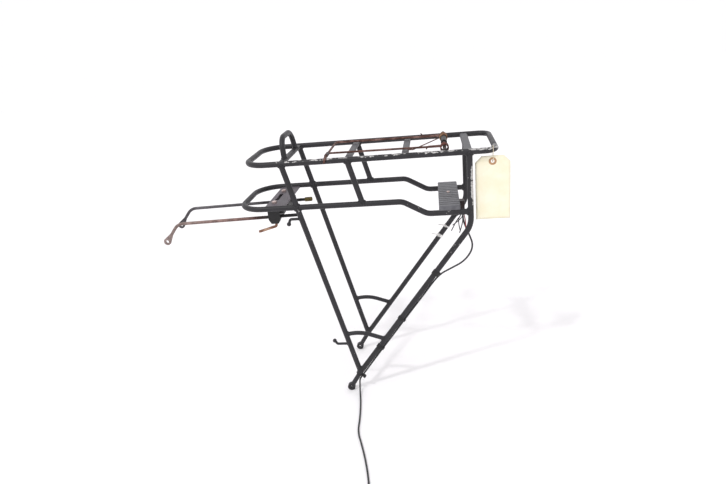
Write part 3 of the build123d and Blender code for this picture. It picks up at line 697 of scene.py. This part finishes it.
def saddle(start, direction, radius, other_start, other_direction, other_radius, steps=56):
    """The closed line where a round rod meets the surface of another rod, in millimetres."""
    d, e = direction.normalized(), other_direction.normalized()
    first = d.orthogonal().normalized()
    second = d.cross(first)
    across = d - e * d.dot(e)
    line = []
    for step in range(steps):
        turn = 2 * math.pi * step / steps
        skin = (first * math.cos(turn) + second * math.sin(turn)) * radius
        away = start + skin - other_start
        away -= e * away.dot(e)
        a, b = across.dot(across), away.dot(across)
        inside = max(b * b - a * (away.dot(away) - other_radius ** 2), 0.0)
        line.append(start + skin + d * ((-b + math.sqrt(inside)) / a))
    return line


def ring_line(middle, direction, radius, steps=40):
    """A closed circle round a rod, in millimetres."""
    d = direction.normalized()
    first = d.orthogonal().normalized()
    second = d.cross(first)
    turns = [2 * math.pi * step / steps for step in range(steps)]
    return [middle + (first * math.cos(t) + second * math.sin(t)) * radius for t in turns]


def slat_line(x, half_width, sign):
    """The closed line where a flat slat meets the inner side of a deck rod, in millimetres."""
    line = []
    for step in range(36):
        turn = 2 * math.pi * step / 36
        c, s = math.cos(turn), math.sin(turn)
        dx = math.copysign(abs(c) ** 0.45, c) * half_width
        dz = math.copysign(abs(s) ** 0.45, s) * SLAT_HALF_T
        y = sign * (HALF_WIDTH - math.sqrt(ROD_R ** 2 - dz ** 2))
        line.append(Vector((x + dx, y, DECK_Z + dz)))
    return line


def weld_lines():
    """Every weld line of the frame as (points, closed, bead radius), in millimetres."""
    lines = []
    for sign in SIDES.values():
        side = Vector((0.0, sign * HALF_WIDTH, 0.0))
        crossing = Vector((front_leg_x(LOWER_Z), 0.0, LOWER_Z)) + side
        brace_front = Vector((front_leg_x(BRACE_FRONT_Z), 0.0, BRACE_FRONT_Z)) + side
        brace_rear = leg_point(BRACE_REAR_Z, 0.0, side.y)
        upright_low = Vector((REAR_BEND.x, side.y, LOWER_REAR_Z))
        upright_top = Vector((REAR_BEND.x, side.y, DECK_Z))
        foot = FOOT + side
        inwards = Vector((0.0, -sign, 0.0))
        axle_end = AXLE + side
        deck_under_axle = Vector((AXLE.x, side.y, DECK_Z))
        joints = [
            (FRONT_LEG_TOP + side, -FRONT_LEG, ROD_R, ALONG_X, ROD_R),
            (upright_top, -ALONG_Z, ROD_R, ALONG_X, ROD_R),
            (STRUT_TOP + side, STRUT_BOTTOM - STRUT_TOP, ROD_R, ALONG_X, ROD_R),
            (STRUT_BOTTOM + side, STRUT_TOP - STRUT_BOTTOM, ROD_R, ALONG_X, ROD_R),
            (crossing, -ALONG_X, ROD_R, FRONT_LEG, ROD_R),
            (crossing, ALONG_X, ROD_R, FRONT_LEG, ROD_R),
            (upright_low, -ALONG_X, ROD_R, ALONG_Z, ROD_R),
            (foot, FRONT_LEG, ROD_R, REAR_LEG, ROD_R),
            (brace_front, BRACE_CROWN + side - brace_front, BRACE_R, FRONT_LEG, ROD_R),
            (brace_rear, BRACE_CROWN + side - brace_rear, BRACE_R, REAR_LEG, ROD_R),
        ]
        for start, direction, radius, other, other_radius in joints:
            bead = 1.9 if radius == ROD_R else 1.3
            lines.append((saddle(start, direction, radius, start, other, other_radius), True, bead))
        lines.append((
            saddle(axle_end, inwards, AXLE_R, deck_under_axle, ALONG_X, ROD_R), True, 0.8,
        ))
        shank = FOOT.normalized()
        lines.append((ring_line(foot - shank * 3.0, shank, SHANK_R + 0.2), True, 1.2))
        for x, half_width in SLATS.values():
            lines.append((slat_line(x, half_width, sign), True, 0.9))
        hoop_foot = Vector((FRONT_LEG_TOP.x, sign * HOOP_FOOT_Y, DECK_Z + SLAT_HALF_T))
        lines.append((ring_line(hoop_foot, ALONG_Z, ROD_R), True, 1.2))
        for z in PLATE_FACES_Z:
            y = sign * (HALF_WIDTH - math.sqrt(ROD_R ** 2 - (z - LOWER_Z) ** 2))
            span = PLATE_X[1] - PLATE_X[0]
            lines.append(([Vector((PLATE_X[0] + span * i / 30, y, z)) for i in range(31)], False, 1.0))
    for z in HOOK_STEMS_Z:
        stem = Vector((front_leg_x(z), -HALF_WIDTH, z))
        lines.append((saddle(stem, -ALONG_X, HOOK_R, stem, FRONT_LEG, ROD_R), True, 0.8))
    return lines


def line_mesh(name, lines):
    """A mesh of edges only, with each line's bead radius on its points."""
    points, edges, beads = [], [], []
    for line, closed, bead in lines:
        first = len(points)
        points += [p * MM for p in line]
        beads += [bead * MM] * len(line)
        edges += [(first + i, first + i + 1) for i in range(len(line) - 1)]
        if closed:
            edges.append((first + len(line) - 1, first))
    mesh = bpy.data.meshes.new(name)
    mesh.from_pydata(points, edges, [])
    mesh.attributes.new("bead", "FLOAT", "POINT").data.foreach_set("value", beads)
    return mesh


# ---------------------------------------------------------------- small shapes

def lofted(sections, closed_ends=True):
    """A mesh skin through rings of equal point counts, in millimetres, with normals outwards."""
    form = bmesh.new()
    rings = [[form.verts.new(Vector(p) * MM) for p in section] for section in sections]
    count = len(rings[0])
    for ring, after in zip(rings, rings[1:]):
        for i in range(count):
            form.faces.new((ring[i], ring[(i + 1) % count], after[(i + 1) % count], after[i]))
    if closed_ends:
        form.faces.new(rings[0][::-1])
        form.faces.new(rings[-1])
    bmesh.ops.recalc_face_normals(form, faces=form.faces)
    return form


def mesh_from(form, name, smooth=True):
    """Ends a bmesh as a named mesh."""
    mesh = bpy.data.meshes.new(name)
    form.to_mesh(mesh)
    form.free()
    for face in mesh.polygons:
        face.use_smooth = smooth
    return mesh


def band_form(middle, axis, inner, thickness, width, steps=40):
    """A strap that lies round a rod, with rounded edges, in millimetres."""
    a = axis.normalized()
    first = a.orthogonal().normalized()
    second = a.cross(first)
    edge = thickness * 0.3
    half = width / 2
    profile = [
        (inner, -half + edge), (inner + edge, -half), (inner + thickness - edge, -half),
        (inner + thickness, -half + edge), (inner + thickness, half - edge),
        (inner + thickness - edge, half), (inner + edge, half), (inner, half - edge),
    ]
    sections = []
    for step in range(steps + 1):
        turn = 2 * math.pi * step / steps
        outwards = first * math.cos(turn) + second * math.sin(turn)
        sections.append([middle + outwards * r + a * h for r, h in profile])
    form = lofted(sections, closed_ends=False)
    bmesh.ops.remove_doubles(form, verts=form.verts, dist=0.001 * MM)
    bmesh.ops.recalc_face_normals(form, faces=form.faces)
    return form


def strap_form(points, across, width, thickness):
    """A flat strap through points, in millimetres, thinner towards its tip."""
    sections = []
    for index, point in enumerate(points):
        before, after = points[max(index - 1, 0)], points[min(index + 1, len(points) - 1)]
        along = (after - before).normalized()
        side = (across - along * across.dot(along)).normalized()
        up = along.cross(side)
        share = 1.0 - 0.35 * (index / (len(points) - 1)) ** 3
        corners = ((-1, -1), (1, -1), (1, 1), (-1, 1))
        sections.append([
            point + side * (sx * width / 2 * share) + up * (sy * thickness / 2) for sx, sy in corners
        ])
    return lofted(sections)


def block_form(middle, axes, size, edge):
    """A small block with rounded edges, in millimetres, along the given axes."""
    form = bmesh.new()
    bmesh.ops.create_cube(form, size=1.0)
    turned = Matrix([a.normalized() for a in axes]).transposed().to_4x4()
    scaled = Matrix.Diagonal((*[s * MM for s in size], 1.0))
    form.transform(Matrix.Translation(middle * MM) @ turned @ scaled)
    bmesh.ops.bevel(
        form, geom=form.edges[:], offset=edge * MM, segments=3, profile=0.5, affect="EDGES",
    )
    bmesh.ops.recalc_face_normals(form, faces=form.faces)
    return form


def joined(forms, name, smooth=True):
    """One mesh of several closed shells."""
    whole = bmesh.new()
    for form in forms:
        mesh = mesh_from(form, "shell", smooth)
        whole.from_mesh(mesh)
        bpy.data.meshes.remove(mesh)
    return mesh_from(whole, name, smooth)


# ---------------------------------------------------------------- settings

class CarrierSizes(bpy.types.PropertyGroup):
    """Sizes of the added pieces."""
    spring_wire: bpy.props.FloatProperty(
        name="Spring Wire", description="Diameter of the clip's spring wire",
        default=2.3 * MM, min=0.5 * MM, unit="LENGTH",
    )
    coil_pitch: bpy.props.FloatProperty(
        name="Coil Pitch", description="Distance between neighbouring turns of the springs",
        default=2.45 * MM, min=1.0 * MM, unit="LENGTH",
    )
    weld_ripple: bpy.props.FloatProperty(
        name="Weld Ripple", description="Distance between the ripples of a weld bead",
        default=1.7 * MM, min=0.5 * MM, unit="LENGTH",
    )
    lead_diameter: bpy.props.FloatProperty(
        name="Lead Diameter", description="Diameter of the light lead",
        default=LEAD_D * MM, min=1.0 * MM, unit="LENGTH",
    )
    tag_curl: bpy.props.FloatProperty(
        name="Tag Curl", description="How far the foot of the tag bends out",
        default=4.0 * MM, min=0.0, unit="LENGTH",
    )


class CarrierColours(bpy.types.PropertyGroup):
    """Colours that a user would change."""
    floor: bpy.props.FloatVectorProperty(
        name="Floor", description="Colour of the studio floor",
        default=linear("f7f5f6"), size=4, min=0.0, max=1.0, subtype="COLOR",
    )
    sky: bpy.props.FloatVectorProperty(
        name="Surround", description="Colour of the light all round",
        default=linear("fefdff"), size=4, min=0.0, max=1.0, subtype="COLOR",
    )


class CarrierStage(bpy.types.PropertyGroup):
    """Light and camera."""
    key_strength: bpy.props.FloatProperty(
        name="Key Strength", description="Strength of the soft key light", default=0.75, min=0.0,
    )
    key_softness: bpy.props.FloatProperty(
        name="Key Softness", description="Angle that the soft key light fills", default=math.radians(4.0),
        min=0.0, subtype="ANGLE",
    )
    surround: bpy.props.FloatProperty(
        name="Surround Strength", description="Strength of the light all round", default=1.02, min=0.0,
    )
    lens: bpy.props.FloatProperty(
        name="Lens", description="Focal length of the camera", default=27.76, min=1.0, unit="CAMERA",
    )


# ---------------------------------------------------------------- operators

class CARRIER_OT_finishes(bpy.types.Operator):
    """Make every finish and give the frame's parts theirs"""
    bl_idname = "carrier.finishes"
    bl_label = "Finishes"

    def execute(self, context):
        FINISHES.update(make_finishes())
        for name, finish in NODE_FINISH.items():
            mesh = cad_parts[name].data
            mesh.materials.clear()
            mesh.materials.append(FINISHES[finish])
        return {"FINISHED"}


class CARRIER_OT_welds(bpy.types.Operator):
    """Lay a rippled weld bead round every joint of the rods"""
    bl_idname = "carrier.welds"
    bl_label = "Weld Beads"

    def execute(self, context):
        sizes = context.scene.carrier_sizes
        lines = line_mesh("weld_beads", weld_lines())
        piece = bpy.data.objects.new("weld_beads", lines)
        context.scene.collection.objects.link(piece)
        run_tree(piece, weld_tree(), {"Ripple Pitch": sizes.weld_ripple})
        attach(piece, "frame")
        return {"FINISHED"}


class CARRIER_OT_coils(bpy.types.Operator):
    """Wind the two springs of the clip round its axle"""
    bl_idname = "carrier.coils"
    bl_label = "Spring Coils"

    def execute(self, context):
        sizes = context.scene.carrier_sizes
        wire_radius = sizes.spring_wire / 2
        for side in SIDES:
            low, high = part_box(f"clip_coil_{side}")
            radius = (high.z - low.z) / 2 - wire_radius
            length = high.y - low.y - sizes.spring_wire
            middle = (low + high) / 2
            start = Vector((middle.x, low.y + wire_radius, middle.z))
            piece = bpy.data.objects.new(f"spring_coil_{side}", bpy.data.meshes.new("coil"))
            context.scene.collection.objects.link(piece)
            run_tree(piece, coil_tree(f"coil_{side}"), {
                "Turns": length / sizes.coil_pitch, "Middle Radius": radius, "Length": length,
                "Wire Radius": wire_radius, "Start": start,
            })
            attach(piece, "clip")
            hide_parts(f"clip_coil_{side}")
        return {"FINISHED"}


class CARRIER_OT_lead(bpy.types.Operator):
    """Run the light lead down the left rear leg and the loose wires under the connector"""
    bl_idname = "carrier.lead"
    bl_label = "Light Lead"

    def execute(self, context):
        diameter = context.scene.carrier_sizes.lead_diameter
        route = [
            *LEAD_LOOP,
            *[tuple(leg_point(z, offset)) for z, offset in LEAD_ON_LEG],
            *LEAD_ON_FLOOR,
        ]
        lead = place_piece(
            "light_lead_cable", nurbs_curve("light_lead_cable", route, diameter / MM), "lead", "frame",
            ("light_lead", "light_lead_tail"),
        )
        for name, (node, points) in LOOSE_WIRES.items():
            finish = "red" if node == "wire_red" else "lead"
            wire = place_piece(name, nurbs_curve(name, points, WIRE_D), finish, "frame", (node,))
        return {"FINISHED"}


class CARRIER_OT_ties(bpy.types.Operator):
    """Close the white cable ties round the right rear leg, with their heads and tails"""
    bl_idname = "carrier.ties"
    bl_label = "White Ties"

    def execute(self, context):
        for node, (z, width) in WHITE_TIES.items():
            middle = leg_point(z, 0.0, HALF_WIDTH)
            outwards = (Vector((0.0, -1.0, 0.0)) - LEG_BACK * 0.55).normalized()
            head_middle = middle + outwards * (ROD_R + 2.6)
            head_size = (min(width, TIE_HEAD_WIDEST) + TIE_HEAD_OVERHANG, TIE_HEAD_T, TIE_HEAD_ACROSS)
            across = REAR_LEG.cross(outwards).normalized()
            head = block_form(head_middle, (REAR_LEG, outwards, across), head_size, 0.5)
            shares = [step / TIE_TAIL_STEPS for step in range(TIE_TAIL_STEPS + 1)]
            tail = [
                head_middle + TIE_TAIL * share - ALONG_Z * TIE_TAIL_SAG * share * share for share in shares
            ]
            strap = strap_form(tail, REAR_LEG, min(width, 2.6), 1.0)
            band = band_form(middle, REAR_LEG, ROD_R + TIE_BAND_CLEARANCE, TIE_BAND_T, width)
            place_piece(f"{node}_strap", joined([band, head, strap], node), "nylon", "frame", (node,))
        return {"FINISHED"}


class CARRIER_OT_tag(bpy.types.Operator):
    """Hang the blank card tag from its loop of twine"""
    bl_idname = "carrier.tag"
    bl_label = "Tag and Twine"

    def execute(self, context):
        low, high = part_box("blank_tag")
        ring_low, ring_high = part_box("tag_ring")
        hole = (ring_low + ring_high) / 2
        corner = TAG_CORNER * MM
        outline = [
            (low.x, high.z - corner), (low.x + corner, high.z), (high.x - corner, high.z),
            (high.x, high.z - corner), (high.x, low.z), (low.x, low.z),
        ]
        points = []
        for start, end in zip(outline, outline[1:] + outline[:1]):
            for share in range(TAG_EDGE_STEPS):
                points.append(Vector(start).lerp(Vector(end), share / TAG_EDGE_STEPS))
        count = len(points)
        edges = [(i, (i + 1) % count) for i in range(count)]
        for step in range(TAG_HOLE_STEPS):
            turn = 2 * math.pi * step / TAG_HOLE_STEPS
            points.append(Vector((
                hole.x + TAG_HOLE_R * MM * math.cos(turn), hole.z + TAG_HOLE_R * MM * math.sin(turn),
            )))
        edges += [(count + i, count + (i + 1) % TAG_HOLE_STEPS) for i in range(TAG_HOLE_STEPS)]
        for row in range(1, TAG_ROWS):
            for column in range(1, TAG_COLUMNS):
                x = low.x + (high.x - low.x) * column / TAG_COLUMNS
                z = low.z + (high.z - low.z) * row / TAG_ROWS
                corner_reach = (high.z - z) + min(x - low.x, high.x - x)
                hole_reach = math.hypot(x - hole.x, z - hole.z)
                if hole_reach > (TAG_HOLE_R + 2.0) * MM and corner_reach > corner + 2.0 * MM:
                    points.append(Vector((x, z)))
        flat, _, faces, *_ = delaunay_2d_cdt(points, edges, [], 1, 1e-7)
        curl = context.scene.carrier_sizes.tag_curl
        form = bmesh.new()
        verts = []
        for p in flat:
            drop = max(hole.z - TAG_STRAIGHT_BELOW_HOLE * MM - p.y, 0.0) / (high.z - low.z)
            sway = (p.x - hole.x) / (high.x - low.x)
            y = curl * drop ** 2 - curl * 0.7 * drop * sway ** 2
            verts.append(form.verts.new((p.x, low.y + y, p.y)))
        for face in faces:
            centre = sum((flat[i] for i in face), Vector((0.0, 0.0))) / len(face)
            if math.hypot(centre.x - hole.x, centre.y - hole.z) > (TAG_HOLE_R - 0.2) * MM:
                form.faces.new([verts[i] for i in face])
        bmesh.ops.recalc_face_normals(form, faces=form.faces)
        piece = place_piece("card_tag", mesh_from(form, "card_tag"), "card", "tag", ("blank_tag",))
        wall = piece.modifiers.new("thickness", "SOLIDIFY")
        wall.thickness = TAG_T * MM
        wall.offset = 0.0
        twine = place_piece(
            "tag_twine", nurbs_curve("tag_twine", STRING_ROUTE, STRING_D), "twine", "frame", ("tag_string",),
        )
        knot = block_form(KNOT_MIDDLE, (ALONG_X, ALONG_Y, ALONG_Z), KNOT_SIZE, KNOT_EDGE)
        tied = place_piece("tag_knot", mesh_from(knot, "tag_knot"), "twine", "frame")
        return {"FINISHED"}


class CARRIER_OT_stage(bpy.types.Operator):
    """Set up the floor, the light and the camera"""
    bl_idname = "carrier.stage"
    bl_label = "Stage"

    def execute(self, context):
        stage, colours = context.scene.carrier_stage, context.scene.carrier_colours
        form = bmesh.new()
        bmesh.ops.create_grid(form, x_segments=1, y_segments=1, size=FLOOR_HALF_WIDTH_M)
        form.transform(Matrix.Translation((0.0, 0.0, FLOOR_Z * MM)))
        floor = bpy.data.objects.new("studio_floor", mesh_from(form, "studio_floor", False))
        context.scene.collection.objects.link(floor)
        # painted board: matt and nearly white, with the faintest unevenness
        material, tree, _, noises = start_material("painted_floor", cast=(400.0, 2.0, EVEN))
        shade = add_node(
            tree, "ShaderNodeValToRGB", links={"Fac": noises["cast"]},
            stops=[(0.3, tuple(colours.floor)), (0.7, linear("fbfafb"))],
        ).outputs["Color"]
        end_material(tree, {"Roughness": 0.85}, {"Base Color": shade}, noises["cast"], 0.01)
        floor.data.materials.append(material)

        world = bpy.data.worlds.new("surround")
        context.scene.world = world
        world.use_nodes = True
        back = world.node_tree.nodes["Background"]
        back.inputs["Color"].default_value = tuple(colours.sky)
        back.inputs["Strength"].default_value = stage.surround

        key = bpy.data.objects.new("key_light", bpy.data.lights.new("key_light", "SUN"))
        key.data.angle = stage.key_softness
        key.data.energy = stage.key_strength
        key.location = CARRIER_MIDDLE_M + TOWARDS_KEY * KEY_DISTANCE_M
        key.rotation_euler = TOWARDS_KEY.to_track_quat("Z", "Y").to_euler()
        context.scene.collection.objects.link(key)

        camera = bpy.data.objects.new("camera", bpy.data.cameras.new("camera"))
        camera.data.lens = stage.lens
        camera.data.sensor_width = CAMERA_SENSOR
        camera.matrix_world = (
            Matrix.Translation(CAMERA_PLACE)
            @ Matrix.Rotation(CAMERA_YAW, 4, "Z")
            @ Matrix.Rotation(math.pi / 2 + CAMERA_PITCH, 4, "X")
            @ Matrix.Rotation(-CAMERA_ROLL, 4, "Z")
        )
        context.scene.collection.objects.link(camera)
        context.scene.camera = camera
        context.scene.view_settings.view_transform = "Standard"
        return {"FINISHED"}


OPERATORS = (
    CARRIER_OT_finishes, CARRIER_OT_welds, CARRIER_OT_coils, CARRIER_OT_lead,
    CARRIER_OT_ties, CARRIER_OT_tag, CARRIER_OT_stage,
)


class CARRIER_PT_panel(bpy.types.Panel):
    """Everything that makes the carrier"""
    bl_label = "Carrier"
    bl_idname = "CARRIER_PT_panel"
    bl_space_type = "VIEW_3D"
    bl_region_type = "UI"
    bl_category = "Carrier"

    def draw(self, context):
        for settings in (
            context.scene.carrier_sizes, context.scene.carrier_colours, context.scene.carrier_stage,
        ):
            box = self.layout.box()
            for name in settings.__annotations__:
                box.prop(settings, name)
        for operator in OPERATORS:
            self.layout.operator(operator.bl_idname)


CLASSES = (CarrierSizes, CarrierColours, CarrierStage, *OPERATORS, CARRIER_PT_panel)


def register():
    for made in CLASSES:
        bpy.utils.register_class(made)
    bpy.types.Scene.carrier_sizes = bpy.props.PointerProperty(type=CarrierSizes)
    bpy.types.Scene.carrier_colours = bpy.props.PointerProperty(type=CarrierColours)
    bpy.types.Scene.carrier_stage = bpy.props.PointerProperty(type=CarrierStage)


def unregister():
    del bpy.types.Scene.carrier_sizes
    del bpy.types.Scene.carrier_colours
    del bpy.types.Scene.carrier_stage
    for made in reversed(CLASSES):
        bpy.utils.unregister_class(made)


def main():
    """Makes the carrier and its stage."""
    register()
    for operator in OPERATORS:
        group, name = operator.bl_idname.split(".")
        getattr(getattr(bpy.ops, group), name)()


if __name__ == "__main__":
    main()
